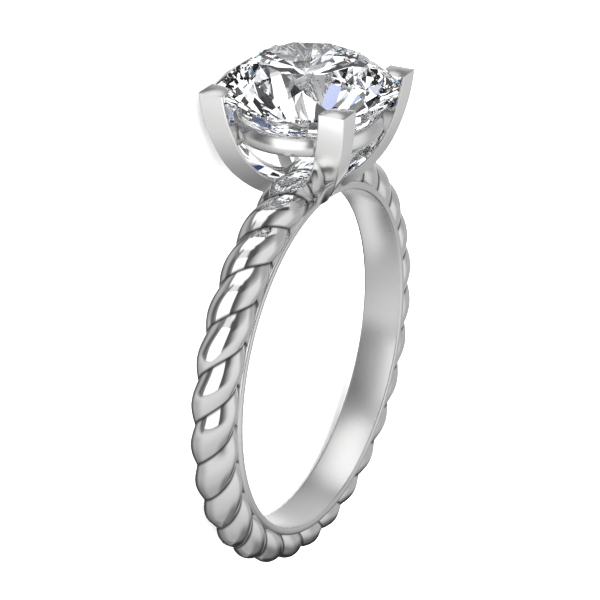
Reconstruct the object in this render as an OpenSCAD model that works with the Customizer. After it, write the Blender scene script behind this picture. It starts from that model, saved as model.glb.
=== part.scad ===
// Solitaire engagement ring: a rope band on a smooth sleeve, a four-post head and a round brilliant.
// Millimetres. The ring is drawn upright round the finger axis Y, with the stone up, and is then
// laid on its side, as it rests by itself, with the stone towards the front and the origin on the
// surface under the middle of its box.

/* [Band] */
// Inside diameter of the ring, where the finger goes
bore_d = 17; // [15:0.1:20]
// Width of the smooth sleeve along the finger
sleeve_w = 2.2; // [2:0.05:2.6]
// Wall of the smooth sleeve
sleeve_wall = 0.4; // [0.35:0.05:0.6]
// Radius of the sleeve's four rounded edges
sleeve_edge_r = 0.14; // [0.05:0.01:0.17]

/* [Rope] */
// Strands twisted into the rope
strands = 2; // [2, 3]
// Bulges round the outside of the whole rope
lobes = 28; // [24:2:36]
// Diameter over the twisted strands
rope_d = 2.2; // [1.9:0.05:2.4]
// Depth of the grooves between the strands
groove = 0.22; // [0.15:0.01:0.4]
// Distance of the rope's middle outside the bore
rope_mid = 0.87; // [0.8:0.01:1]
// Turn of the twist, as a part of one bulge
twist_start = 0.9; // [0:0.05:1]

/* [Head] */
// Side of the square posts
post_side = 1.3; // [1:0.05:1.5]
// Depth of the posts from their outer edge to their flat back
post_depth = 1.35; // [1.1:0.05:1.5]
// Height of the post tips above the finger axis
post_top = 14.5; // [14.4:0.05:15]
// Height of the dome on the post tips
tip_dome = 0.18; // [0.1:0.01:0.25]
// Width of the dome's top, as a part of the post's width
tip_flat = 0.5; // [0.3:0.05:0.8]
// Radius of the rails' outer edge where they cross under the stone
rail_bottom_r = 4.95; // [4.8:0.05:5.1]
// Radius of the rails' outer edge along the posts
rail_side_r = 8.85; // [8.5:0.05:9.5]
// Angle from straight down at which the one radius passes into the other
rail_turn = 63.3; // [60:0.1:66]
// Depth of the rails' outer edge below the bore's highest point
rail_drop = 0.05; // [0.02:0.01:0.1]
// Height of the gallery rail's middle above the finger axis
gallery_z = 12.38; // [12.3:0.01:12.55]
// Radius of the gallery rail's middle
gallery_r = 3.34; // [3.3:0.01:3.6]
// Width of the gallery rail's oval section
gallery_w = 0.5; // [0.4:0.05:0.6]
// Height of the gallery rail's oval section
gallery_h = 1; // [0.8:0.05:1.05]

/* [Stone] */
// Diameter of the stone at its girdle
stone_d = 8.6; // [8.2:0.05:8.8]
// Height of the girdle's middle above the finger axis
girdle_z = 14.02; // [13.9:0.01:14.1]
// Thickness of the girdle at its thick places
girdle_t = 0.22; // [0.18:0.01:0.3]
// Width of the table across its corners, as a part of the stone's diameter
table_part = 0.55; // [0.52:0.01:0.6]
// Slope of the crown's main facets
crown_slope = 35.5; // [32:0.5:37]
// Slope of the pavilion's main facets
pavilion_slope = 40.8; // [40:0.2:41.4]
// Reach of the star facets from the table's edge to the girdle
star_part = 0.5; // [0.45:0.05:0.6]
// Reach of the lower girdle facets from the girdle to the point
lower_part = 0.78; // [0.7:0.02:0.85]
// Gap between the stone and the metal
stone_gap = 0.03; // [0.02:0.01:0.06]

/* [Hidden] */
$fn = 96;

bore_r = bore_d / 2;

// The rope's strands are circles set round its middle; adjoining ones overlap a little
rope_r = rope_d / 2;
strand_turn = 360 / strands;
groove_r = rope_r - groove;
strand_out = (pow(rope_r, 2) - pow(groove_r, 2)) / (2 * (rope_r - groove_r * cos(strand_turn / 2)));
strand_r = rope_r - strand_out;
rope_ring_r = bore_r + rope_mid;
twist = lobes / strands;
points_per_strand = 6;
section_points = points_per_strand * strands;
steps_per_lobe = 8;
rope_steps = steps_per_lobe * lobes;

// Rails, in the upright plane through two opposite posts
rail_low = bore_r - rail_drop;
rail_bottom_z = rail_low + rail_bottom_r;
rail_side_x = -(rail_side_r - rail_bottom_r) * sin(rail_turn);
rail_side_z = rail_bottom_z + (rail_side_r - rail_bottom_r) * cos(rail_turn);
post_half = post_side / sqrt(2);

// The posts are swept this many degrees past upright, above their tips
post_past = 10;

// Each tip is trimmed by a domed form that starts below the dome, with a little play round the post
tip_low = post_top - tip_dome;
tip_grip = 0.3;
tip_play = 0.01;
tip_steps = 6;
slice_h = 0.001;

// Length of the cutter for the bore
cutter_h = 4 * sleeve_w;

// Stone, with every height above the finger axis
stone_r = stone_d / 2;
crown_z = girdle_z + girdle_t / 2;
pavilion_z = girdle_z - girdle_t / 2;
table_r = table_part * stone_r;
table_z = crown_z + (stone_r - table_r) * tan(crown_slope);
mains = 8;
main_turn = 360 / mains;
half_turn = main_turn / 2;
table_flat_r = table_r * cos(half_turn);
star_r = table_flat_r + star_part * (stone_r - table_flat_r);
star_z = crown_z + (stone_r - star_r * cos(half_turn)) * tan(crown_slope);
culet_z = pavilion_z - stone_r * tan(pavilion_slope);
lower_r = stone_r * (1 - lower_part);
lower_z = pavilion_z - (stone_r - lower_r * cos(half_turn)) * tan(pavilion_slope);

// Each upper and lower girdle facet ends in girdle_steps short edges along the round girdle
girdle_steps = 4;
girdle_points = 2 * mains * girdle_steps;
girdle_flat_r = stone_r * cos(half_turn / 2);
upper_rise = (star_z - crown_z) / (girdle_flat_r - star_r * cos(half_turn / 2));
lower_rise = (pavilion_z - lower_z) / (girdle_flat_r - lower_r * cos(half_turn / 2));

// Lying ring: it rests on the stone's girdle and on the far side of the rope, so its upright axis
// leans by the angle at which both are equally low
rest_length = pavilion_z + rope_ring_r;
lie_angle = acos(rope_r / norm([stone_r, rest_length])) - atan(rest_length / stone_r);
rest_height = rope_ring_r * sin(lie_angle) + rope_r;
reach_front = table_z * cos(lie_angle) + table_r * sin(lie_angle);
reach_back = rope_ring_r * cos(lie_angle) + rope_r;

// Distance from the rope's middle to its surface, at an angle from a strand's crest
function section_r(a) =
    strand_out * cos(a) + sqrt(pow(strand_r, 2) - pow(strand_out * sin(a), 2));

// Angle of a section point from the nearest crest, and its place round the ring at a step
function from_crest(i) = (i * 360 / section_points + strand_turn / 2) % strand_turn - strand_turn / 2;
function rope_point(step, i) =
    let (
        around = step * 360 / rope_steps,
        turn = i * 360 / section_points - twist * (around - twist_start * 360 / lobes),
        r = section_r(from_crest(i)),
        out = rope_ring_r + r * cos(turn)
    ) [out * cos(around), -r * sin(turn), out * sin(around)];

// The last step meets the first one a whole number of strands further round
function rope_index(step, i) =
    let (
        wrap = step == rope_steps ? section_points * lobes / strands : 0
    ) (step % rope_steps) * section_points + (i + section_points * lobes - wrap) % section_points;

module rope() {
    points = [for (s = [0:rope_steps - 1], i = [0:section_points - 1]) rope_point(s, i)];
    faces = [
        for (s = [0:rope_steps - 1], i = [0:section_points - 1])
            each [
                [rope_index(s, i), rope_index(s + 1, i + 1), rope_index(s + 1, i)],
                [rope_index(s, i), rope_index(s, i + 1), rope_index(s + 1, i + 1)]
            ]
    ];
    polyhedron(points, faces);
}

module sleeve_section() {
    half_flat = sleeve_w / 2 - sleeve_edge_r;
    for (r = [bore_r + sleeve_edge_r, bore_r + sleeve_wall - sleeve_edge_r], side = [-1, 1])
        translate([r, side * half_flat]) circle(sleeve_edge_r);
    translate([bore_r + sleeve_edge_r, -sleeve_w / 2])
        square([sleeve_wall - 2 * sleeve_edge_r, sleeve_w]);
    translate([bore_r, -half_flat]) square([sleeve_wall, 2 * half_flat]);
}

module sleeve() {
    rotate([90, 0, 0]) rotate_extrude() sleeve_section();
}

// Square post section with its edge outwards at the given radius and its inner corner cut flat
module post_section(edge_r) {
    back_half = 2 * post_half - post_depth;
    translate([edge_r, 0])
        polygon([
            [0, 0],
            [-post_half, post_half],
            [-post_depth, back_half],
            [-post_depth, -back_half],
            [-post_half, -post_half]
        ]);
}

module rail_arc(edge_r, centre_x, centre_z, start, sweep) {
    translate([centre_x, 0, centre_z])
        rotate([90, 0, 0]) rotate([0, 0, start]) rotate_extrude(angle = sweep) post_section(edge_r);
}

// One rail with the posts at its two ends
module rail() {
    rail_arc(rail_bottom_r, 0, rail_bottom_z, -90 - rail_turn, 2 * rail_turn);
    for (side = [0, 1])
        mirror([side, 0, 0])
            rail_arc(
                rail_side_r, rail_side_x, rail_side_z, rail_turn - 90, 90 - rail_turn + post_past
            );
}

// Radius of the posts' outer edge at a height above the finger axis
function post_edge(z) = rail_side_x + sqrt(pow(rail_side_r, 2) - pow(rail_side_z - z, 2));

module tip_slice(z, share) {
    translate([post_edge(z) - post_half, 0, z - slice_h])
        linear_extrude(slice_h) scale(share) offset(delta = tip_play) post_section(post_half);
}

module tip_form() {
    hull() {
        tip_slice(tip_low - tip_grip, 1);
        for (i = [0:tip_steps]) {
            angle = i * 90 / tip_steps;
            tip_slice(tip_low + tip_dome * sin(angle), 1 - (1 - tip_flat) * (1 - cos(angle)));
        }
    }
}

// The form that trims the rails: a block below the tips and a dome over each post
module tip_trim() {
    half = post_edge(post_top);
    translate([-half, -half, 0]) cube([2 * half, 2 * half, tip_low - tip_grip / 2]);
    for (turn = [45:90:315]) rotate([0, 0, turn]) tip_form();
}

// Round rail under the stone that ties the posts together, with an oval section
module gallery_rail() {
    half_flat = (gallery_h - gallery_w) / 2;
    translate([0, 0, gallery_z])
        rotate_extrude() {
            for (side = [-1, 1])
                translate([gallery_r, side * half_flat]) circle(d = gallery_w);
            translate([gallery_r - gallery_w / 2, -half_flat]) square([gallery_w, 2 * half_flat]);
        }
}

// Round form that the stone fits in, grown by the gap, which cuts its seat in the posts
module seat() {
    rotate_extrude()
        polygon([
            [0, culet_z - stone_gap / cos(pavilion_slope)],
            [stone_r + stone_gap, pavilion_z - stone_gap / 2],
            [stone_r + stone_gap, crown_z + stone_gap / 2],
            [table_r + stone_gap, table_z + stone_gap],
            [0, table_z + stone_gap]
        ]);
}

module head() {
    intersection() {
        tip_trim();
        union() {
            rotate([0, 0, 45]) rail();
            rotate([0, 0, -45]) rail();
        }
    }
    gallery_rail();
}

function stone_point(r, angle, z) = [r * cos(angle), r * sin(angle), z];

// How far a girdle point stands outside the chord of its facet, which makes the girdle wavy
function girdle_bulge(angle) = stone_r * cos(angle % half_turn - half_turn / 2) - girdle_flat_r;

module brilliant() {
    girdle_angles = [for (i = [0:girdle_points - 1]) i * 360 / girdle_points];
    main_angles = [for (k = [0:mains - 1]) k * main_turn];
    points = concat(
        [for (a = main_angles) stone_point(table_r, a, table_z)],
        [for (a = main_angles) stone_point(star_r, a + half_turn, star_z)],
        [for (a = girdle_angles) stone_point(stone_r, a, crown_z - girdle_bulge(a) * upper_rise)],
        [for (a = girdle_angles) stone_point(stone_r, a, pavilion_z + girdle_bulge(a) * lower_rise)],
        [for (a = main_angles) stone_point(lower_r, a + half_turn, lower_z)],
        [[0, 0, culet_z]]
    );
    culet = len(points) - 1;
    function table(k) = k % mains;
    function star(k) = mains + k % mains;
    function girdle_top(i) = 2 * mains + i % girdle_points;
    function girdle_low(i) = girdle_top(i) + girdle_points;
    function lower(k) = 2 * mains + 2 * girdle_points + k % mains;
    faces = concat(
        [[for (k = [mains - 1:-1:0]) table(k)]],
        [for (k = [0:mains - 1]) each let (
            first = 2 * girdle_steps * k,
            middle = first + girdle_steps,
            last = middle + girdle_steps,
            before = k + mains - 1
        ) [
            [table(k), table(k + 1), star(k)],
            [table(k), star(k), girdle_top(first), star(before)],
            [star(k), for (i = [middle:-1:first]) girdle_top(i)],
            [star(k), for (i = [last:-1:middle]) girdle_top(i)],
            [lower(k), for (i = [first:middle]) girdle_low(i)],
            [lower(k), for (i = [middle:last]) girdle_low(i)],
            [culet, lower(before), girdle_low(first), lower(k)]
        ]],
        [for (i = [0:girdle_points - 1])
            [girdle_low(i), girdle_top(i), girdle_top(i + 1), girdle_low(i + 1)]]
    );
    polyhedron(points, faces);
}

// Lays the upright ring on its side, stone to the front, and brings the origin under its middle
module laid() {
    translate([0, (reach_front - reach_back) / 2, rest_height])
        rotate([0, 0, 180]) rotate([lie_angle - 90, 0, 0]) children();
}

module ring_mount() {
    color("silver")
        laid()
            difference() {
                union() {
                    sleeve();
                    rope();
                    head();
                }
                rotate([90, 0, 0]) cylinder(h = cutter_h, r = bore_r, center = true);
                seat();
            }
}

module centre_stone() {
    color("aliceblue") laid() brilliant();
}

ring_mount();
centre_stone();
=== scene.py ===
"""Looks of the solitaire engagement ring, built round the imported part.

Every piece is modelled upright in millimetres, round the finger axis Y with the stone up, as the
part's own source draws it. Laying then turns it on its side and brings it to the frame's metres.
"""

import logging
import math
from collections.abc import Callable, Sequence
from dataclasses import dataclass
from enum import Enum

import bmesh
import bpy
from mathutils import Matrix, Vector


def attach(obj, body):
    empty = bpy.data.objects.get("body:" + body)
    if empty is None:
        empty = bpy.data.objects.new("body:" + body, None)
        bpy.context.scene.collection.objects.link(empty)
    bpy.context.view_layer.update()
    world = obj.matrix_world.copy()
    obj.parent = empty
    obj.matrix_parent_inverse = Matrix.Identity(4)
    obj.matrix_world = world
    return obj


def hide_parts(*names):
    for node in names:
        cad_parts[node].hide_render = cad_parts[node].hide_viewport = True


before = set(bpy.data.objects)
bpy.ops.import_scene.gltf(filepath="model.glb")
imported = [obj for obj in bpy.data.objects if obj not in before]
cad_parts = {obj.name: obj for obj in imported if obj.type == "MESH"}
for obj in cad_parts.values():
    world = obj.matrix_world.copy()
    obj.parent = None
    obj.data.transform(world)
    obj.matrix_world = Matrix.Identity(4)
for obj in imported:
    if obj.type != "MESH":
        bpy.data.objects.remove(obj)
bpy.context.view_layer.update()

MM = 0.001
BODY = "root"
METAL_NODES = ("ring_mount",)
STONE_NODES = ("centre_stone",)

FULL_TURN = 2 * math.pi
ORIGIN = (0, 0, 0)
FINGER_AXIS = (0, 1, 0)
UPRIGHT_AXIS = (0, 0, 1)

# Distances in millimetres within which two places count as one
NEAR = 1e-3
VERY_NEAR = 1e-5

Socket = bpy.types.NodeSocket

log = logging.getLogger("ring")


class Element(Enum):
    """What a selection on the bench is made of."""

    POINTS = "VERT"
    FACES = "FACE"


class Join(Enum):
    """How one form acts on another."""

    CUT = "DIFFERENCE"
    FUSE = "UNION"


def deselect_all() -> None:
    """Ends editing and empties the selection, so that an operator acts on one piece alone."""
    if bpy.context.mode != "OBJECT":
        bpy.ops.object.mode_set(mode="OBJECT")
    bpy.ops.object.select_all(action="DESELECT")


def polar(radius: float, angle: float, height: float) -> Vector:
    """Gives a point at a radius and an angle round the upright axis.

    Args:
        radius: Distance from the axis.
        angle: Angle from X in radians.
        height: Height above the finger axis.

    Returns:
        The point.
    """
    return Vector((radius * math.cos(angle), radius * math.sin(angle), height))


@dataclass(frozen=True)
class RingPlan:
    """Main sizes of the upright ring in millimetres, the same as in the part's own source."""

    bore_r: float = 8.5
    sleeve_w: float = 2.2
    sleeve_wall: float = 0.4
    rope_r: float = 1.1
    rope_ring_r: float = 9.37
    stone_r: float = 4.3
    crown_z: float = 14.13
    pavilion_z: float = 13.91
    table_r: float = 2.365
    crown_slope: float = math.radians(35.5)
    pavilion_slope: float = math.radians(40.8)
    stone_gap: float = 0.03

    @property
    def table_z(self) -> float:
        """Height of the stone's table."""
        return self.crown_z + (self.stone_r - self.table_r) * math.tan(self.crown_slope)

    @property
    def culet_z(self) -> float:
        """Height of the stone's lowest point."""
        return self.pavilion_z - self.stone_r * math.tan(self.pavilion_slope)

    @property
    def lie_angle(self) -> float:
        """Lean of the lying ring, which rests on the stone's girdle and the rope's far side."""
        length = self.pavilion_z + self.rope_ring_r
        reach = math.hypot(self.stone_r, length)
        return math.acos(self.rope_r / reach) - math.atan(length / self.stone_r)

    def laying(self) -> Matrix:
        """Works out how the upright ring comes to lie in the frame.

        Returns:
            The matrix from upright millimetres to the frame's metres.
        """
        lean = self.lie_angle
        front = self.table_z * math.cos(lean) + self.table_r * math.sin(lean)
        back = self.rope_ring_r * math.cos(lean) + self.rope_r
        lift = self.rope_ring_r * math.sin(lean) + self.rope_r
        turn = Matrix.Rotation(math.pi, 4, "Z") @ Matrix.Rotation(lean - math.pi / 2, 4, "X")
        return Matrix.Scale(MM, 4) @ Matrix.Translation((0, (front - back) / 2, lift)) @ turn


PLAN = RingPlan()


class Workpiece:
    """A mesh on the bench, shaped with Blender's operators as by hand."""

    def __init__(self, name: str, primitive: Callable[..., set], **sizes: object) -> None:
        """Adds a first form at its size and place, and starts to edit it.

        Args:
            name: Plain name of the piece.
            primitive: Operator that adds the first form.
            sizes: The operator's sizes, place and turn.
        """
        deselect_all()
        primitive(**sizes)
        self.piece = bpy.context.object
        self.piece.name = self.piece.data.name = name
        bpy.ops.object.transform_apply(location=True, rotation=True, scale=True)
        bpy.ops.object.mode_set(mode="EDIT")
        bpy.ops.mesh.select_all(action="SELECT")

    def add(self, primitive: Callable[..., set], **sizes: object) -> None:
        """Adds a further form to the mesh and leaves it alone selected.

        Args:
            primitive: Operator that adds the form.
            sizes: The operator's sizes, place and turn.
        """
        bpy.ops.mesh.select_all(action="DESELECT")
        primitive(**sizes)

    def select(self, kind: Element, chosen: Callable[[Vector], bool]) -> None:
        """Selects by place and nothing else.

        Args:
            kind: Points or faces.
            chosen: Says of a point or of a face's middle whether it is wanted.
        """
        bpy.ops.mesh.select_mode(type=kind.value)
        form = bmesh.from_edit_mesh(self.piece.data)
        for element in [*form.faces, *form.edges, *form.verts]:
            element.select_set(False)
        if kind is Element.POINTS:
            for point in form.verts:
                point.select_set(chosen(point.co))
        else:
            for face in form.faces:
                face.select_set(chosen(face.calc_center_median()))
        form.select_flush_mode()
        bmesh.update_edit_mesh(self.piece.data)

    def select_all(self) -> None:
        """Selects the whole mesh."""
        bpy.ops.mesh.select_all(action="SELECT")

    def open_outline(self) -> None:
        """Takes the face out of a flat form, so that only its outline is left to sweep."""
        bpy.ops.mesh.delete(type="ONLY_FACE")
        bpy.ops.mesh.select_mode(type="VERT")
        self.select_all()

    def round_corners(self, radius: float, steps: int) -> None:
        """Rounds the selected corners of a flat form.

        Args:
            radius: How far from the corner the rounding starts.
            steps: Number of straight bits in each rounding.
        """
        bpy.ops.mesh.bevel(affect="VERTICES", offset=radius, segments=steps)

    def spin(self, steps: int, angle: float, centre: tuple, axis: tuple) -> None:
        """Sweeps the selection round an axis.

        Args:
            steps: Number of steps.
            angle: Angle in radians.
            centre: Point that the axis passes through.
            axis: The axis's direction.
        """
        bpy.ops.mesh.spin(steps=steps, angle=angle, center=centre, axis=axis)

    def extrude(self, rise: float) -> None:
        """Draws the selected faces straight up, or down where the rise is below zero."""
        bpy.ops.mesh.extrude_region_move(TRANSFORM_OT_translate={"value": (0, 0, rise)})

    def bisect(
        self,
        point: Sequence[float],
        normal: Sequence[float],
        fill: bool = True,
        drop: bool = True,
    ) -> None:
        """Cuts the selection by a plane.

        Args:
            point: Point on the plane.
            normal: Direction that the plane faces.
            fill: Closes the cut with a face.
            drop: Drops what lies on the side that the plane faces.
        """
        bpy.ops.mesh.bisect(
            plane_co=point, plane_no=normal, use_fill=fill, clear_outer=drop, threshold=VERY_NEAR
        )

    def close(self, distance: float = NEAR) -> None:
        """Merges the seams of the whole mesh and turns its faces outwards.

        Args:
            distance: Largest distance between points that are merged.
        """
        self.select_all()
        bpy.ops.mesh.remove_doubles(threshold=distance)
        bpy.ops.mesh.normals_make_consistent(inside=False)

    def leave(self) -> None:
        """Ends editing and makes this the only selected piece."""
        deselect_all()
        self.piece.select_set(True)
        bpy.context.view_layer.objects.active = self.piece

    def move(self, turn: float, place: Sequence[float] = ORIGIN) -> None:
        """Turns the form round the upright axis, then moves it.

        Args:
            turn: Angle in radians.
            place: Where its middle goes.
        """
        self.leave()
        self.piece.rotation_euler = (0, 0, turn)
        self.piece.location = place
        bpy.ops.object.transform_apply(location=True, rotation=True, scale=True)

    def modify(self, kind: str, **settings: object) -> None:
        """Adds a modifier and applies it.

        Args:
            kind: Blender's name of the modifier.
            settings: Values of its fields.
        """
        self.leave()
        bpy.ops.object.modifier_add(type=kind)
        modifier = self.piece.modifiers[-1]
        for name, value in settings.items():
            setattr(modifier, name, value)
        bpy.ops.object.modifier_apply(modifier=modifier.name)

    def join(self, how: Join, other: "Workpiece") -> None:
        """Cuts another form out of this one or fuses it in, and removes the other.

        Args:
            how: Cut or fuse.
            other: The other form.
        """
        other.leave()
        self.modify("BOOLEAN", operation=how.value, object=other.piece, solver="MANIFOLD")
        mesh = other.piece.data
        bpy.data.objects.remove(other.piece)
        bpy.data.meshes.remove(mesh)

    def lay(self, smooth_angle: float, hold_flats: bool = True) -> None:
        """Lays the finished form in the frame and smooths it up to an angle.

        Args:
            smooth_angle: Sharpest angle in radians that is still shaded smooth.
            hold_flats: Keeps the flats flat where rounded edges run into them.
        """
        self.leave()
        self.piece.matrix_world = PLAN.laying()
        bpy.ops.object.transform_apply(location=True, rotation=True, scale=True)
        if smooth_angle > 0:
            bpy.ops.object.shade_smooth_by_angle(angle=smooth_angle)
            if hold_flats:
                self.modify("WEIGHTED_NORMAL", keep_sharp=True, weight=100)
        else:
            bpy.ops.object.shade_flat()

    def assign(self, nodes: tuple, finish: "Finish") -> None:
        """Dresses the piece and says what it stands for.

        Args:
            nodes: The part's nodes that the piece replaces.
            finish: The finish that it gets.
        """
        self.piece.data.materials.clear()
        self.piece.data.materials.append(finish.material())
        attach(self.piece, BODY)
        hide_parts(*nodes)
        log.info("%s: %d faces", self.piece.name, len(self.piece.data.polygons))


class NodeDesk:
    """Places a material's shader nodes and links them."""

    def __init__(self, material: bpy.types.Material) -> None:
        """Starts an empty node tree.

        Args:
            material: Material that the nodes belong to.
        """
        material.use_nodes = True
        self.material = material
        self.tree = material.node_tree
        self.tree.nodes.clear()

    def node(self, kind: str, inputs: dict | None = None, **fields: object) -> bpy.types.Node:
        """Adds a node.

        Args:
            kind: Blender's name of the node.
            inputs: A value or an output to link, for each input by name or number.
            fields: Values of the node's own fields.

        Returns:
            The node.
        """
        made = self.tree.nodes.new(kind)
        for name, value in fields.items():
            setattr(made, name, value)
        for name, value in (inputs or {}).items():
            socket = made.inputs[name]
            if isinstance(value, Socket):
                self.tree.links.new(value, socket)
            else:
                socket.default_value = value
        return made

    def place(self) -> Socket:
        """Reads the place of a point in the piece's own coordinates."""
        return self.node("ShaderNodeTexCoord").outputs["Object"]

    def mark(self, name: str) -> Socket:
        """Reads a mark that the mesh carries, by its name."""
        return self.node("ShaderNodeAttribute", attribute_name=name).outputs["Fac"]

    def noise(self, scale: float, detail: float) -> Socket:
        """Adds soft noise that follows the piece.

        Args:
            scale: How fine it is, in waves a metre.
            detail: How many finer layers it has.

        Returns:
            Its output.
        """
        inputs = {"Vector": self.place(), "Scale": scale, "Detail": detail}
        return self.node("ShaderNodeTexNoise", inputs).outputs["Fac"]

    def blend(self, share: Socket, first: object, second: object) -> Socket:
        """Mixes two colours.

        Args:
            share: Share of the second colour.
            first: A colour or an output.
            second: A colour or an output.

        Returns:
            The mixed colour.
        """
        inputs = {"Factor": share, 6: first, 7: second}
        return self.node("ShaderNodeMix", inputs, data_type="RGBA").outputs[2]

    def math(self, operation: str, *values: object) -> Socket:
        """Adds a math node.

        Args:
            operation: Its operation.
            values: Numbers or outputs.

        Returns:
            Its output.
        """
        return self.node(
            "ShaderNodeMath", dict(enumerate(values)), operation=operation
        ).outputs[0]

    def ease(
        self, value: Socket, low: float, high: float, at_low: float, at_high: float
    ) -> Socket:
        """Maps a value from one range to another with a soft start and end.

        Args:
            value: Output that is mapped.
            low: Start of its range.
            high: End of its range.
            at_low: Result at the start.
            at_high: Result at the end.

        Returns:
            The node's output.
        """
        return self.node(
            "ShaderNodeMapRange",
            {0: value, 1: low, 2: high, 3: at_low, 4: at_high},
            interpolation_type="SMOOTHSTEP",
        ).outputs[0]

    def surface(self, kind: str, inputs: dict) -> None:
        """Adds the shader that the material shows.

        Args:
            kind: Blender's name of the shader node.
            inputs: A value or an output to link, for each input.
        """
        shader = self.node(kind, inputs)
        self.node("ShaderNodeOutputMaterial", {"Surface": shader.outputs[0]})

    def glow(self, inputs: dict) -> None:
        """Makes the material shine on what mirrors it, and cast no light of its own.

        Args:
            inputs: A value or an output to link, for each input of the glow.
        """
        self.surface("ShaderNodeEmission", inputs)
        self.material.cycles.emission_sampling = "NONE"


@dataclass(frozen=True)
class Finish:
    """A finish and the record's material slot that it belongs to."""

    name: str
    slot: str

    def material(self) -> bpy.types.Material:
        """Gives the finish's material and makes it only once.

        Returns:
            The material.
        """
        known = bpy.data.materials.get(self.name)
        if known is not None:
            return known
        made = bpy.data.materials.new(self.name)
        self.mix(NodeDesk(made))
        return made

    def mix(self, desk: NodeDesk) -> None:
        """Builds the finish's nodes on the desk; each finish has its own."""
        raise NotImplementedError(desk)


@dataclass(frozen=True)
class PolishedGold(Finish):
    """White gold with a polish that varies a little, and with light and shade painted on marked
    places.

    The outward upper faces of the posts get a lighter tone, which is painted light, and a rougher
    polish; the tips get a darker tone, which is painted shade, and a rougher polish; the rope's
    creases get a dark painted shade and a rougher polish. Scales are in waves a metre, and
    mark_depth is in millimetres.
    """

    bright: tuple = (0.74, 0.74, 0.735, 1.0)
    dull: tuple = (0.69, 0.69, 0.69, 1.0)
    # Lighter tone of the outward upper post faces, painted light
    painted_outside_light: tuple = (0.96, 0.96, 0.955, 1.0)
    # Darker tone of the post tips, painted shade
    painted_tip_shade: tuple = (0.58, 0.58, 0.575, 1.0)
    # Dark tone in the rope's creases, painted shade
    painted_crease_shade: tuple = (0.02, 0.02, 0.022, 1.0)
    gloss: float = 0.02
    haze: float = 0.045
    outside_rough: float = 0.17
    tip_rough: float = 0.2
    recess_rough: float = 0.28
    cloud_scale: float = 260.0
    cloud_detail: float = 3.0
    cloud_range: tuple = (0.3, 0.7)
    mark_scale: float = 5200.0
    mark_detail: float = 2.0
    mark_strength: float = 0.015
    mark_depth: float = 0.02

    def mix(self, desk: NodeDesk) -> None:
        """Mixes two close greys, paints light on the outward post faces and shade on the tips and
        creases with a rougher polish there, and adds polish marks.

        Args:
            desk: Where the nodes go.
        """
        cloud = desk.noise(self.cloud_scale, self.cloud_detail)
        colour = desk.blend(cloud, self.dull, self.bright)
        rough = desk.ease(cloud, *self.cloud_range, self.gloss, self.haze)
        # Painted light on the outward post faces, painted shade on the tips and in the creases,
        # each with a rougher polish
        painted_light_and_wear = (
            (ClawHead.OUTSIDE, self.painted_outside_light, self.outside_rough),
            (ClawHead.TIPS, self.painted_tip_shade, self.tip_rough),
            (RopeBand.RECESS, self.painted_crease_shade, self.recess_rough),
        )
        for name, shade, added in painted_light_and_wear:
            share = desk.mark(name)
            colour = desk.blend(share, colour, shade)
            rough = desk.math("ADD", rough, desk.math("MULTIPLY", share, added))
        marks = {
            "Height": desk.noise(self.mark_scale, self.mark_detail),
            "Strength": self.mark_strength,
            "Distance": self.mark_depth * MM,
        }
        bump = desk.node("ShaderNodeBump", marks).outputs[0]
        desk.surface(
            "ShaderNodeBsdfPrincipled",
            {"Base Color": colour, "Roughness": rough, "Metallic": 1.0, "Normal": bump},
        )


@dataclass(frozen=True)
class CutStone(Finish):
    """Clear colourless stone with a very faint cool tint that drifts through it."""

    clear: tuple = (1.0, 1.0, 1.0, 1.0)
    cool: tuple = (0.965, 0.98, 1.0, 1.0)
    index: float = 2.42
    outer_gloss: tuple = (0.12, 0.12, 0.12, 1.0)
    drift_scale: float = 220.0

    def mix(self, desk: NodeDesk) -> None:
        """Mixes clear glass of a high index.

        Args:
            desk: Where the nodes go.
        """
        drift = desk.noise(self.drift_scale, 1.0)
        desk.surface(
            "ShaderNodeBsdfPrincipled",
            {
                "Base Color": desk.blend(drift, self.clear, self.cool),
                "Roughness": 0.0,
                "IOR": self.index,
                "Specular Tint": self.outer_gloss,
                "Transmission Weight": 1.0,
            },
        )


GOLD = PolishedGold("white_gold_polish", "white_gold")
SOFT_GOLD = PolishedGold("white_gold_soft_polish", "white_gold", gloss=0.2, haze=0.23)
SATIN = PolishedGold("white_gold_satin", "white_gold", gloss=0.25, haze=0.28)
CLEAR = CutStone("clear_cut_stone", "clear_stone")


def bore_cutter(radius: float, points: int = 256) -> Workpiece:
    """Makes the round form that opens the finger hole.

    Args:
        radius: Its radius.
        points: Number of points round it.

    Returns:
        The form.
    """
    return Workpiece(
        "bore_cutter",
        bpy.ops.mesh.primitive_cylinder_add,
        vertices=points,
        radius=radius,
        depth=4 * PLAN.sleeve_w,
        rotation=(math.pi / 2, 0, 0),
    )


@dataclass
class Sleeve:
    """Smooth sleeve that the finger touches."""

    edge_r: float = 0.14
    edge_steps: int = 5
    steps: int = 288
    smooth: float = math.radians(40)

    def build(self) -> Workpiece:
        """Spins a rounded rectangle round the finger axis.

        Returns:
            The piece.
        """
        middle = (PLAN.bore_r + PLAN.sleeve_wall / 2, 0, 0)
        work = Workpiece("sleeve", bpy.ops.mesh.primitive_plane_add, size=1, location=middle)
        bpy.ops.transform.resize(
            value=(PLAN.sleeve_wall, PLAN.sleeve_w, 1), center_override=middle
        )
        work.round_corners(self.edge_r, self.edge_steps)
        work.select_all()
        work.open_outline()
        work.spin(self.steps, FULL_TURN, ORIGIN, FINGER_AXIS)
        work.close()
        work.lay(self.smooth)
        work.assign(METAL_NODES, SATIN)
        return work


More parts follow.
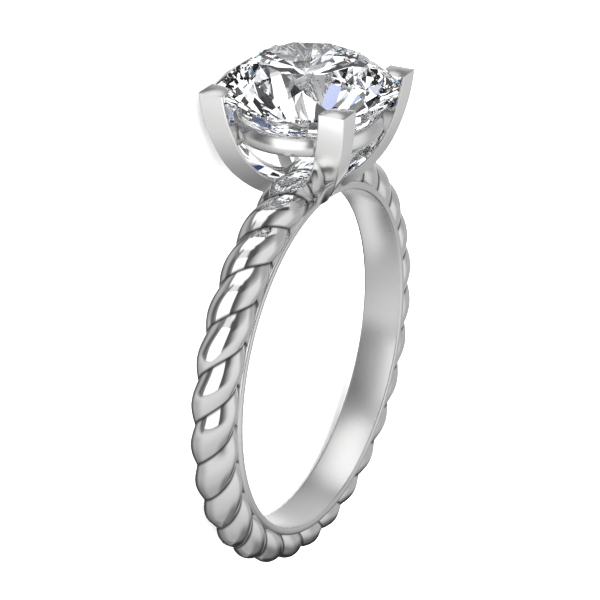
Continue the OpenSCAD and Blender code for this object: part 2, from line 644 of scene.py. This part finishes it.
@dataclass
class RopeBand:
    """Two strands twisted into a rope and bent round the sleeve."""

    # Mark of the creases between the strands, which get painted shade and a rougher polish
    RECESS = "recess"
    strands: int = 2
    lobes: int = 28
    groove: float = 0.22
    start_turn: float = math.radians(162)
    circle_points: int = 64
    steps_per_turn: int = 48
    crease_seam: float = 0.01
    end_seam: float = 0.004
    hidden_cut: float = 0.15
    recess_part: float = 0.2
    smooth: float = math.radians(18)

    @property
    def crease_r(self) -> float:
        """Distance of the crease between the strands from the rope's middle."""
        return PLAN.rope_r - self.groove

    @property
    def strand_out(self) -> float:
        """Distance of a strand's middle from the rope's middle."""
        slant = math.cos(math.pi / self.strands)
        return (PLAN.rope_r**2 - self.crease_r**2) / (2 * (PLAN.rope_r - self.crease_r * slant))

    def build(self) -> Workpiece:
        """Twists the section along a straight bar, bends the bar round and opens its inside.

        Returns:
            The piece.
        """
        work = self.section()
        turns = self.lobes // self.strands
        work.modify(
            "SCREW",
            axis="Z",
            angle=FULL_TURN,
            iterations=turns,
            steps=self.steps_per_turn,
            render_steps=self.steps_per_turn,
            screw_offset=FULL_TURN * PLAN.rope_ring_r / turns,
        )
        self.mark_recess(work)
        work.modify("SIMPLE_DEFORM", deform_method="BEND", deform_axis="Y", angle=FULL_TURN)
        bpy.ops.object.mode_set(mode="EDIT")
        work.select_all()
        bpy.ops.transform.translate(value=(-PLAN.rope_ring_r, 0, 0))
        work.close(self.end_seam)
        work.join(Join.CUT, bore_cutter(PLAN.bore_r + self.hidden_cut))
        work.lay(self.smooth)
        work.assign(METAL_NODES, GOLD)
        return work

    def section(self) -> Workpiece:
        """Draws the rope's outline, an arc for each strand.

        Returns:
            The outline.
        """
        work = None
        for strand in range(self.strands):
            angle = self.start_turn + strand * FULL_TURN / self.strands
            circle = {
                "vertices": self.circle_points,
                "radius": PLAN.rope_r - self.strand_out,
                "location": polar(self.strand_out, angle, 0),
                "rotation": (0, 0, angle),
            }
            if work is None:
                work = Workpiece("rope_band", bpy.ops.mesh.primitive_circle_add, **circle)
            else:
                work.add(bpy.ops.mesh.primitive_circle_add, **circle)
            work.bisect(ORIGIN, -polar(1, angle, 0), fill=False)
        work.select_all()
        bpy.ops.mesh.remove_doubles(threshold=self.crease_seam)
        return work

    def mark_recess(self, work: Workpiece) -> None:
        """Notes on the straight bar how deep each point lies between the strands, for the painted
        shade and rougher polish in the creases.

        Args:
            work: The straight bar.
        """
        band = self.recess_part * self.groove
        mesh = work.piece.data
        recess = mesh.attributes.new(self.RECESS, "FLOAT", "POINT")
        for point, mark in zip(mesh.vertices, recess.data):
            above = point.co.xy.length - self.crease_r
            mark.value = max(0.0, 1.0 - above / band)


@dataclass
class ClawHead:
    """Two rails that cross under the stone and rise into four square posts.

    From its lowest point a rail bends by turn along bottom_r, then along side_r until it is
    rise_past beyond upright, and its tip is cut at post_top. Outward faces that lean far enough
    grow a lighter tone, which is painted light, and a rougher polish from the lower to the upper
    wear height; tips that lean far enough get a darker tone, which is painted shade, and a
    rougher polish.
    """

    # Marks of the outward post faces, which get painted light, and of the tips, which get painted
    # shade; both get a rougher polish
    OUTSIDE = "outside"
    TIPS = "tips"
    post_side: float = 1.3
    post_depth: float = 1.35
    post_top: float = 14.5
    tip_dome: float = 0.12
    tip_reach: float = 1.12
    tip_steps: int = 28
    tip_spare: float = 0.1
    edge_soft: float = 0.05
    edge_steps: int = 3
    side_hold: float = 0.06
    bottom_r: float = 4.95
    side_r: float = 8.85
    turn: float = math.radians(63.3)
    rail_drop: float = 0.05
    bottom_steps: int = 48
    side_steps: int = 40
    rise_past: float = math.radians(2)
    hidden_cut: float = 0.06
    seat_points: int = 128
    wear_and_light_low: float = 10.8
    wear_and_light_high: float = 12.4
    outside_lean: float = 0.25
    tip_lean: float = 0.75
    smooth: float = math.radians(35)

    @property
    def half(self) -> float:
        """Half the diagonal of a post, whose corner points outwards."""
        return self.post_side / math.sqrt(2)

    @property
    def low(self) -> float:
        """Height of the rails' lowest corner."""
        return PLAN.bore_r - self.rail_drop

    def build(self) -> Workpiece:
        """Sweeps both rails with their domed posts, and cuts the bore and the stone's seat.

        Returns:
            The piece.
        """
        head = self.rail("claw_head", math.pi / 4)
        head.join(Join.FUSE, self.rail("second_rail", -math.pi / 4))
        head.join(Join.CUT, bore_cutter(PLAN.bore_r + self.hidden_cut))
        head.join(Join.CUT, self.seat_cutter())
        self.mark_wear_and_painted_light(head)
        head.lay(self.smooth, hold_flats=False)
        head.assign(METAL_NODES, GOLD)
        return head

    def rail(self, name: str, turn: float) -> Workpiece:
        """Sweeps one rail with the posts at its ends.

        Args:
            name: Name of the form.
            turn: Its turn round the upright axis.

        Returns:
            The form.
        """
        side_x = -(self.side_r - self.bottom_r) * math.sin(self.turn)
        side_z = self.low + self.bottom_r + (self.side_r - self.bottom_r) * math.cos(self.turn)
        work = self.section(name)
        centre = (0, 0, self.low + self.bottom_r)
        work.spin(self.bottom_steps, self.turn, centre, FINGER_AXIS)
        rise = math.pi / 2 - self.turn + self.rise_past
        work.spin(self.side_steps, rise, (side_x, 0, side_z), FINGER_AXIS)
        work.close()
        work.bisect((0, 0, self.post_top + self.tip_spare), UPRIGHT_AXIS)
        work.modify("MIRROR", use_mirror_merge=True, merge_threshold=NEAR)
        reach = side_x + math.sqrt(self.side_r**2 - (side_z - self.post_top) ** 2)
        for side in (-1, 1):
            top = Vector((side * (reach - self.half), 0, self.post_top))
            work.join(Join.CUT, self.tip_cutter(top))
        work.move(turn)
        return work

    def section(self, name: str) -> Workpiece:
        """Draws a rail's section, a square on its corner with soft corners and a cut-off top.

        Args:
            name: Name of the form.

        Returns:
            The outline, with points near its sides that keep the flats flat.
        """
        work = Workpiece(
            name,
            bpy.ops.mesh.primitive_circle_add,
            vertices=4,
            radius=self.half,
            fill_type="NGON",
            location=(0, 0, self.low + self.half),
            rotation=(0, math.pi / 2, 0),
        )
        work.bisect((0, 0, self.low + self.post_depth), UPRIGHT_AXIS, fill=False)
        work.select(Element.POINTS, lambda point: point.z > self.low + NEAR)
        work.round_corners(self.edge_soft, self.edge_steps)
        work.select(Element.POINTS, lambda point: point.z < self.low + NEAR)
        work.round_corners(self.edge_soft, 1)
        work.select_all()
        work.open_outline()
        for side in (-1, 1):
            hold = (0, side * (self.half - self.side_hold), 0)
            work.bisect(hold, FINGER_AXIS, fill=False, drop=False)
            work.select_all()
        return work

    def tip_cutter(self, top: Vector) -> Workpiece:
        """Makes the form that takes off what stands above a post's cushioned tip.

        Args:
            top: Highest point of the tip.

        Returns:
            The form.
        """
        half_side = self.post_side / 2
        work = Workpiece(
            "tip_cutter",
            bpy.ops.mesh.primitive_grid_add,
            x_subdivisions=self.tip_steps,
            y_subdivisions=self.tip_steps,
            size=self.post_side * self.tip_reach,
        )
        form = bmesh.from_edit_mesh(work.piece.data)
        for point in form.verts:
            across, along = (1 - min(1.0, abs(v) / half_side) ** 2 for v in point.co.xy)
            point.co.z = self.tip_dome * (across * along - 1)
        bmesh.update_edit_mesh(work.piece.data)
        work.extrude(self.post_side)
        work.close(VERY_NEAR)
        work.move(math.pi / 4, top)
        return work

    def seat_cutter(self) -> Workpiece:
        """Makes the round form that the stone fits in, grown by its gap.

        Returns:
            The form.
        """
        gap = PLAN.stone_gap
        reach = PLAN.stone_r + gap
        top, low = PLAN.crown_z + gap / 2, PLAN.pavilion_z - gap / 2
        work = Workpiece(
            "seat_cutter",
            bpy.ops.mesh.primitive_cylinder_add,
            vertices=self.seat_points,
            radius=reach,
            depth=top - low,
            location=(0, 0, (top + low) / 2),
        )
        work.select(Element.FACES, lambda middle: middle.z > top - NEAR)
        table = PLAN.table_z + gap
        work.extrude(table - top)
        share = (PLAN.table_r + gap) / reach
        bpy.ops.transform.resize(value=(share, share, 1), center_override=(0, 0, table))
        work.select(Element.FACES, lambda middle: abs(middle.z - low) < NEAR)
        work.extrude(PLAN.culet_z - gap / math.cos(PLAN.pavilion_slope) - low)
        bpy.ops.mesh.merge(type="CENTER")
        work.close()
        return work

    def mark_wear_and_painted_light(self, head: Workpiece) -> None:
        """Notes where the polish is rougher and where light and shade are painted: a lighter tone
        outside on the upper posts, and a darker one on their tips.

        Args:
            head: The upright head.
        """
        mesh = head.piece.data
        mesh.attributes.new(self.OUTSIDE, "FLOAT", "CORNER")
        mesh.attributes.new(self.TIPS, "FLOAT", "CORNER")
        outside, tips = (mesh.attributes[name].data for name in (self.OUTSIDE, self.TIPS))
        for face in mesh.polygons:
            outward = polar(1, math.atan2(face.center.y, face.center.x), 0)
            turned_out = face.normal.dot(outward) > self.outside_lean
            on_tip = face.normal.z > self.tip_lean and face.center.z > PLAN.crown_z
            for corner in face.loop_indices:
                height = mesh.vertices[mesh.loops[corner].vertex_index].co.z
                share = (height - self.wear_and_light_low) / (self.wear_and_light_high - self.wear_and_light_low)
                outside[corner].value = min(1.0, max(0.0, share)) if turned_out else 0.0
                tips[corner].value = 1.0 if on_tip else 0.0


@dataclass
class GalleryRail:
    """Round rail of an oval section that ties the posts together under the stone."""

    middle_z: float = 12.38
    middle_r: float = 3.34
    width: float = 0.5
    height: float = 1.0
    section_points: int = 32
    steps: int = 192
    smooth: float = math.radians(40)

    def build(self) -> Workpiece:
        """Stretches a circle into an oval and spins it round the upright axis.

        Returns:
            The piece.
        """
        middle = (self.middle_r, 0, self.middle_z)
        work = Workpiece(
            "gallery_rail",
            bpy.ops.mesh.primitive_circle_add,
            vertices=self.section_points,
            radius=self.width / 2,
            location=middle,
            rotation=(math.pi / 2, 0, 0),
        )
        bpy.ops.transform.resize(value=(1, 1, self.height / self.width), center_override=middle)
        work.spin(self.steps, FULL_TURN, ORIGIN, UPRIGHT_AXIS)
        work.close()
        work.lay(self.smooth)
        work.assign(METAL_NODES, SOFT_GOLD)
        return work


@dataclass
class Brilliant:
    """Round brilliant, cut from a cylinder facet by facet."""

    mains: int = 8
    star_part: float = 0.5
    lower_part: float = 0.78
    girdle_points: int = 128
    spare: float = 1.0
    corner_seam: float = 2e-3
    flat_angle: float = math.radians(0.05)

    def build(self) -> Workpiece:
        """Cuts the crown's 32 and the pavilion's 24 facets round the table and the girdle.

        Returns:
            The piece.
        """
        low = PLAN.culet_z - self.spare
        work = Workpiece(
            "centre_brilliant",
            bpy.ops.mesh.primitive_cylinder_add,
            vertices=self.girdle_points,
            radius=PLAN.stone_r,
            depth=PLAN.table_z - low,
            location=(0, 0, (PLAN.table_z + low) / 2),
        )
        for point, normal in self.facets():
            work.select_all()
            work.bisect(point, normal)
        work.close(self.corner_seam)
        bpy.ops.mesh.dissolve_limited(angle_limit=self.flat_angle)
        work.lay(0)
        work.assign(STONE_NODES, CLEAR)
        return work

    def facets(self) -> list[tuple[Vector, Vector]]:
        """Works out the facet planes from the same named values as the part's source.

        Returns:
            A point and an outward normal for each facet.
        """
        turn = FULL_TURN / self.mains
        half = turn / 2
        table_flat = PLAN.table_r * math.cos(half)
        star_r = table_flat + self.star_part * (PLAN.stone_r - table_flat)
        star_rise = (PLAN.stone_r - star_r * math.cos(half)) * math.tan(PLAN.crown_slope)
        star_z = PLAN.crown_z + star_rise
        low_r = PLAN.stone_r * (1 - self.lower_part)
        low_drop = (PLAN.stone_r - low_r * math.cos(half)) * math.tan(PLAN.pavilion_slope)
        low_z = PLAN.pavilion_z - low_drop
        culet = Vector((0, 0, PLAN.culet_z))
        corners = []
        for k in range(self.mains):
            at, next_at, mid = k * turn, (k + 1) * turn, k * turn + half
            table, next_table = (polar(PLAN.table_r, a, PLAN.table_z) for a in (at, next_at))
            star, star_before = (polar(star_r, a, star_z) for a in (mid, mid - turn))
            low, low_before = (polar(low_r, a, low_z) for a in (mid, mid - turn))
            corners += [(table, star, star_before), (table, next_table, star)]
            corners.append((culet, low, low_before))
            for a in (at, next_at):
                top, top_mid = (polar(PLAN.stone_r, b, PLAN.crown_z) for b in (a, mid))
                base, base_mid = (polar(PLAN.stone_r, b, PLAN.pavilion_z) for b in (a, mid))
                corners += [(star, top, top_mid), (low, base, base_mid)]
        middle = Vector((0, 0, (PLAN.crown_z + PLAN.pavilion_z) / 2))
        planes = []
        for a, b, c in corners:
            normal = (b - a).cross(c - a).normalized()
            planes.append((a, normal if normal.dot(a - middle) > 0 else -normal))
        return planes


# Share of the light that the polished metal sends back
METAL_SHARE = (PolishedGold.bright[0] + PolishedGold.dull[0]) / 2


def seen(level: float) -> float:
    """Turns a brightness as seen in the polished metal into the light that gives it.

    Args:
        level: Brightness on the screen, where 255 is white.

    Returns:
        Strength of the light, more by what the metal keeps.
    """
    share = level / 255
    linear = ((share + 0.055) / 1.055) ** 2.4
    return linear / METAL_SHARE


def show_in(piece: bpy.types.Object, metal: bool, stone: bool) -> None:
    """Hides a piece of the studio from all but the ring's own reflections.

    Args:
        piece: The piece.
        metal: Whether the metal mirrors it.
        stone: Whether it is seen through the stone.
    """
    piece.visible_camera = piece.visible_diffuse = piece.visible_shadow = False
    piece.visible_glossy = metal
    piece.visible_transmission = stone


@dataclass(frozen=True)
class Card:
    """A lit or dark card on the tent, by where it stands as the upright ring sees it.

    Angles are in degrees: azimuth and half_width round the upright axis, low and high above the
    level, and a soft edge's width as side_fade and end_fade. level is its brightness in the metal.
    """

    azimuth: float
    half_width: float
    side_fade: float
    low: float
    high: float
    end_fade: float
    level: float

    def mask(self, desk: NodeDesk, azimuth: Socket, elevation: Socket) -> Socket:
        """Says where the card covers the tent.

        Args:
            desk: Where the nodes go.
            azimuth: Direction round the upright axis in degrees.
            elevation: Direction above the level in degrees.

        Returns:
            An output that is 1 on the card and 0 off it.
        """
        off = desk.math("WRAP", desk.math("SUBTRACT", azimuth, self.azimuth), 180.0, -180.0)
        across = self.cover(desk, off, self.half_width, self.side_fade)
        middle = (self.low + self.high) / 2
        above = desk.math("SUBTRACT", elevation, middle)
        along = self.cover(desk, above, self.high - middle, self.end_fade)
        return desk.math("MULTIPLY", across, along)

    def cover(self, desk: NodeDesk, off: Socket, half: float, fade: float) -> Socket:
        """Says where one direction lies within the card.

        Args:
            desk: Where the nodes go.
            off: Angle from the card's middle.
            half: Half the card's width.
            fade: Width of its soft edge.

        Returns:
            An output that is 1 within and 0 past the edge.
        """
        distance = desk.math("ABSOLUTE", off)
        return desk.ease(distance, half - fade / 2, half + fade / 2, 1.0, 0.0)


@dataclass
class Tent:
    """A round tent about the ring, painted with soft cards, that only its reflections see.

    The radius is in metres, and the ground is its brightness in the metal between the cards.
    """

    name: str
    cards: tuple
    ground: float = 170
    for_stone: bool = False
    radius: float = 0.05
    segments: int = 32
    rings: int = 16

    def build(self) -> bpy.types.Object:
        """Builds the tent, turned as the lying ring is.

        Returns:
            The tent.
        """
        work = Workpiece(
            self.name,
            bpy.ops.mesh.primitive_uv_sphere_add,
            segments=self.segments,
            ring_count=self.rings,
            radius=self.radius,
        )
        bpy.ops.mesh.flip_normals()
        work.leave()
        tent = work.piece
        tent.rotation_euler = PLAN.laying().to_euler()
        show_in(tent, metal=not self.for_stone, stone=self.for_stone)
        desk = NodeDesk(bpy.data.materials.new(self.name + "_light"))
        place = desk.place()
        toward = desk.node("ShaderNodeVectorMath", {0: place}, operation="NORMALIZE").outputs[0]
        desk.glow(self.paint(desk, toward))
        tent.data.materials.append(desk.material)
        log.info("%s: %d cards", self.name, len(self.cards))
        return tent

    def paint(self, desk: NodeDesk, toward: Socket) -> dict:
        """Paints the cards one over another on the tent's ground.

        Args:
            desk: Where the nodes go.
            toward: Direction from the tent's middle, as the upright ring sees it.

        Returns:
            The inputs of the tent's glow.
        """
        axes = desk.node("ShaderNodeSeparateXYZ", {0: toward}).outputs
        degree = 180 / math.pi
        azimuth = desk.math("MULTIPLY", desk.math("ARCTAN2", axes[1], axes[0]), degree)
        elevation = desk.math("MULTIPLY", desk.math("ARCSINE", axes[2]), degree)
        light = seen(self.ground)
        for card in self.cards:
            mask = card.mask(desk, azimuth, elevation)
            mixed = {0: mask, 2: light, 3: seen(card.level)}
            light = desk.node("ShaderNodeMix", mixed).outputs[0]
        return {"Strength": light}


# Widths and heights of the cards that go all round, right down or right up
ROUND = 200
NADIR = -100
ZENITH = 100

# The metal's cards, from the first painted to the last, which lies over the others
METAL_CARDS = (
    Card(0, ROUND, 10, NADIR, -6, 14, 214),
    Card(0, ROUND, 10, NADIR, -30, 30, 194),
    Card(0, ROUND, 10, NADIR, -58, 36, 165),
    Card(-85, 26, 30, -12, 24, 20, 220),
    Card(-40, 18, 24, -12, 30, 20, 165),
    Card(-38, 18, 24, -46, -10, 14, 170),
    Card(0, 22, 24, -12, 40, 20, 200),
    Card(95, 24, 24, -10, 36, 20, 174),
    Card(54, 16, 20, -2, 52, 14, 100),
    Card(104, 44, 48, NADIR, -14, 20, 168),
    Card(100, 34, 50, NADIR, -44, 30, 128),
    Card(72, 22, 36, -50, 10, 24, 98),
    Card(62, 26, 44, -74, -30, 24, 56),
    Card(-60, 50, 50, NADIR, -50, 26, 118),
    Card(-14, 14, 20, -46, 6, 16, 168),
    Card(-18, 30, 34, -82, -44, 20, 92),
    Card(12, 34, 24, -86, -44, 16, 50),
    Card(-60, 100, 60, 40, 80, 24, 110),
    Card(108, 50, 30, 42, 80, 20, 120),
    Card(-140, 14, 26, -4, 36, 10, 86),
    Card(-132, 20, 26, 28, 58, 10, 82),
    Card(134, 14, 24, -6, 44, 10, 90),
    Card(145, 9, 14, -8, 6, 8, 116),
    Card(183, 26, 16, 38, 80, 12, 225),
    Card(-146, 14, 12, 56, 72, 8, 250),
    Card(40, 22, 16, 46, 80, 12, 232),
    Card(0, ROUND, 10, 63, ZENITH, 6, 262),
    Card(66, 72, 20, 55, 80, 8, 262),
)


@dataclass(frozen=True)
class Shade:
    """A shade of the stone's small cards, for picks from start up to the next shade's start."""

    start: float
    colour: tuple


# The stone's shades, from black over greys and blues to white for the larger half
STONE_SHADES = (
    Shade(0.0, (0.002, 0.002, 0.003)),
    Shade(0.16, (0.065, 0.063, 0.062)),
    Shade(0.25, (0.03, 0.05, 0.13)),
    Shade(0.28, (0.16, 0.16, 0.16)),
    Shade(0.33, (0.34, 0.38, 0.56)),
    Shade(0.37, (0.14, 0.48, 0.72)),
    Shade(0.385, (0.48, 0.50, 0.53)),
    Shade(0.47, (1.0, 1.0, 1.0)),
)


@dataclass
class StoneTent(Tent):
    """The tent as the stone sees it, hung with many small white, grey, dark and blue cards."""

    for_stone: bool = True
    fineness: float = 4.2
    shift: tuple = (5.5, 5.0, 9.2)
    strength: float = 1.7

    def paint(self, desk: NodeDesk, toward: Socket) -> dict:
        """Paints each small card in one of the shades, picked by its place.

        Args:
            desk: Where the nodes go.
            toward: Direction from the tent's middle, as the upright ring sees it.

        Returns:
            The inputs of the tent's glow.
        """
        moved = desk.node(
            "ShaderNodeVectorMath", {0: toward, 1: self.shift}, operation="ADD"
        ).outputs[0]
        pick = desk.node(
            "ShaderNodeTexVoronoi",
            {"Vector": moved, "Scale": self.fineness, "Randomness": 1.0},
            distance="MANHATTAN",
        ).outputs["Color"]
        first = desk.node("ShaderNodeSeparateXYZ", {0: pick}).outputs[0]
        ramp = desk.node("ShaderNodeValToRGB", {0: first})
        stops = ramp.color_ramp.elements
        ramp.color_ramp.interpolation = "CONSTANT"
        stops.remove(stops[-1])
        for shade in self.cards:
            stop = stops.new(shade.start) if shade.start > 0 else stops[0]
            stop.color = (*shade.colour, 1.0)
        return {"Color": ramp.outputs[0], "Strength": self.strength}


@dataclass
class SoftBox:
    """A white card close beside the ring; the first one is the bright window on every bulge.

    It stands at a distance in millimetres along azimuth and tilt, faces the ring's middle, and
    reaches from left to right and from low to high about that line.
    """

    name: str = "soft_box"
    azimuth: float = math.radians(175.8)
    tilt: float = math.radians(8.3)
    distance: float = 22.5
    left: float = -11.9
    right: float = 6.9
    low: float = -2.3
    high: float = 19.1
    level: float = 262

    def standing(self) -> Matrix:
        """Works out where the card stands beside the upright ring.

        Returns:
            The matrix from the card's own place to the upright ring's millimetres.
        """
        away = polar(math.cos(self.tilt), self.azimuth, math.sin(self.tilt))
        across = polar(1, self.azimuth - math.pi / 2, 0)
        up = away.cross(-across)
        middle = (
            away * self.distance
            + across * (self.left + self.right) / 2
            + up * (self.low + self.high) / 2
        )
        turn = Matrix((across, up, across.cross(up))).transposed().to_4x4()
        return Matrix.Translation(middle) @ turn

    def build(self) -> bpy.types.Object:
        """Builds the lit card, turned towards the ring.

        Returns:
            The card.
        """
        work = Workpiece(self.name, bpy.ops.mesh.primitive_plane_add, size=1)
        bpy.ops.transform.resize(value=(self.right - self.left, self.high - self.low, 1))
        work.leave()
        card = work.piece
        card.matrix_world = PLAN.laying() @ self.standing()
        show_in(card, metal=True, stone=False)
        desk = NodeDesk(bpy.data.materials.new(self.name + "_light"))
        desk.glow({"Strength": seen(self.level)})
        card.data.materials.append(desk.material)
        return card


@dataclass
class PhotoCamera:
    """Camera at the photograph's angle to the ring, above the floor.

    place is in the upright ring's millimetres, and near and far are in metres.
    """

    azimuth: float = math.radians(-62.365)
    elevation: float = math.radians(25.475)
    place: tuple = (-94.1088, -48.8545, 53.5293)
    lens: float = 144.18
    sensor: float = 36.0
    near: float = 0.005
    far: float = 10

    def build(self) -> bpy.types.Object:
        """Sets the camera to the upright ring and lays it with the ring.

        Returns:
            The camera.
        """
        back = polar(
            math.cos(self.elevation), self.azimuth - math.pi / 2, math.sin(self.elevation)
        )
        right = polar(1, self.azimuth, 0)
        turn = Matrix((right, back.cross(right), back)).transposed()
        laying = PLAN.laying()
        deselect_all()
        bpy.ops.object.camera_add(location=laying @ Vector(self.place))
        camera = bpy.context.object
        camera.name = "photo_camera"
        camera.rotation_euler = (laying.to_euler().to_matrix() @ turn).to_euler()
        camera.data.lens = self.lens
        camera.data.sensor_width = self.sensor
        camera.data.clip_start = self.near
        camera.data.clip_end = self.far
        bpy.context.scene.camera = camera
        return camera


@dataclass
class Studio:
    """Plain white floor and soft white light all round."""

    floor_size: float = 8.0
    floor_dark: float = 0.9
    floor_pale: float = 0.92
    floor_rough: float = 0.9
    grain_scale: float = 40.0
    light: float = 3.4
    bounces: int = 20
    mirror_bounces: int = 14
    stone_bounces: int = 10

    def build(self) -> None:
        """Lays the floor, lights the room and hangs the tents and the near cards."""
        self.floor()
        self.room()
        Tent("metal_tent", METAL_CARDS).build()
        SoftBox().build()
        self.sleeve_card().build()
        StoneTent("stone_tent", STONE_SHADES).build()

    def floor(self) -> None:
        """Lays the floor, which the ring's own reflections don't show."""
        work = Workpiece(
            "studio_floor", bpy.ops.mesh.primitive_plane_add, size=self.floor_size
        )
        work.leave()
        floor = work.piece
        floor.visible_glossy = floor.visible_transmission = False
        desk = NodeDesk(bpy.data.materials.new("studio_floor_paint"))
        grain = desk.noise(self.grain_scale, 2.0)
        shade = desk.ease(grain, 0.0, 1.0, self.floor_dark, self.floor_pale)
        desk.surface(
            "ShaderNodeBsdfPrincipled", {"Base Color": shade, "Roughness": self.floor_rough}
        )
        floor.data.materials.append(desk.material)

    def room(self) -> None:
        """Lights the room and lets light pass through the stone often enough."""
        world = bpy.data.worlds.new("studio_light")
        world.use_nodes = True
        background = world.node_tree.nodes["Background"]
        background.inputs["Color"].default_value = (1, 1, 1, 1)
        background.inputs["Strength"].default_value = self.light
        scene = bpy.context.scene
        scene.world = world
        scene.view_settings.view_transform = "Standard"
        scene.cycles.max_bounces = self.bounces
        scene.cycles.glossy_bounces = self.mirror_bounces
        scene.cycles.transmission_bounces = self.stone_bounces

    def sleeve_card(self) -> SoftBox:
        """Gives the near card behind the ring that the sleeve's upper part mirrors.

        Returns:
            The card.
        """
        return SoftBox(
            name="sleeve_card",
            azimuth=math.pi / 2,
            tilt=0,
            distance=8,
            left=-1,
            right=16,
            low=-16,
            high=-8.5,
            level=232,
        )


def main() -> None:
    """Builds the camera, the pieces and the studio in order."""
    logging.basicConfig(level=logging.INFO, format="%(message)s")
    PhotoCamera().build()
    for maker in (Sleeve(), RopeBand(), ClawHead(), GalleryRail(), Brilliant()):
        maker.build()
    Studio().build()


if __name__ == "__main__":
    main()
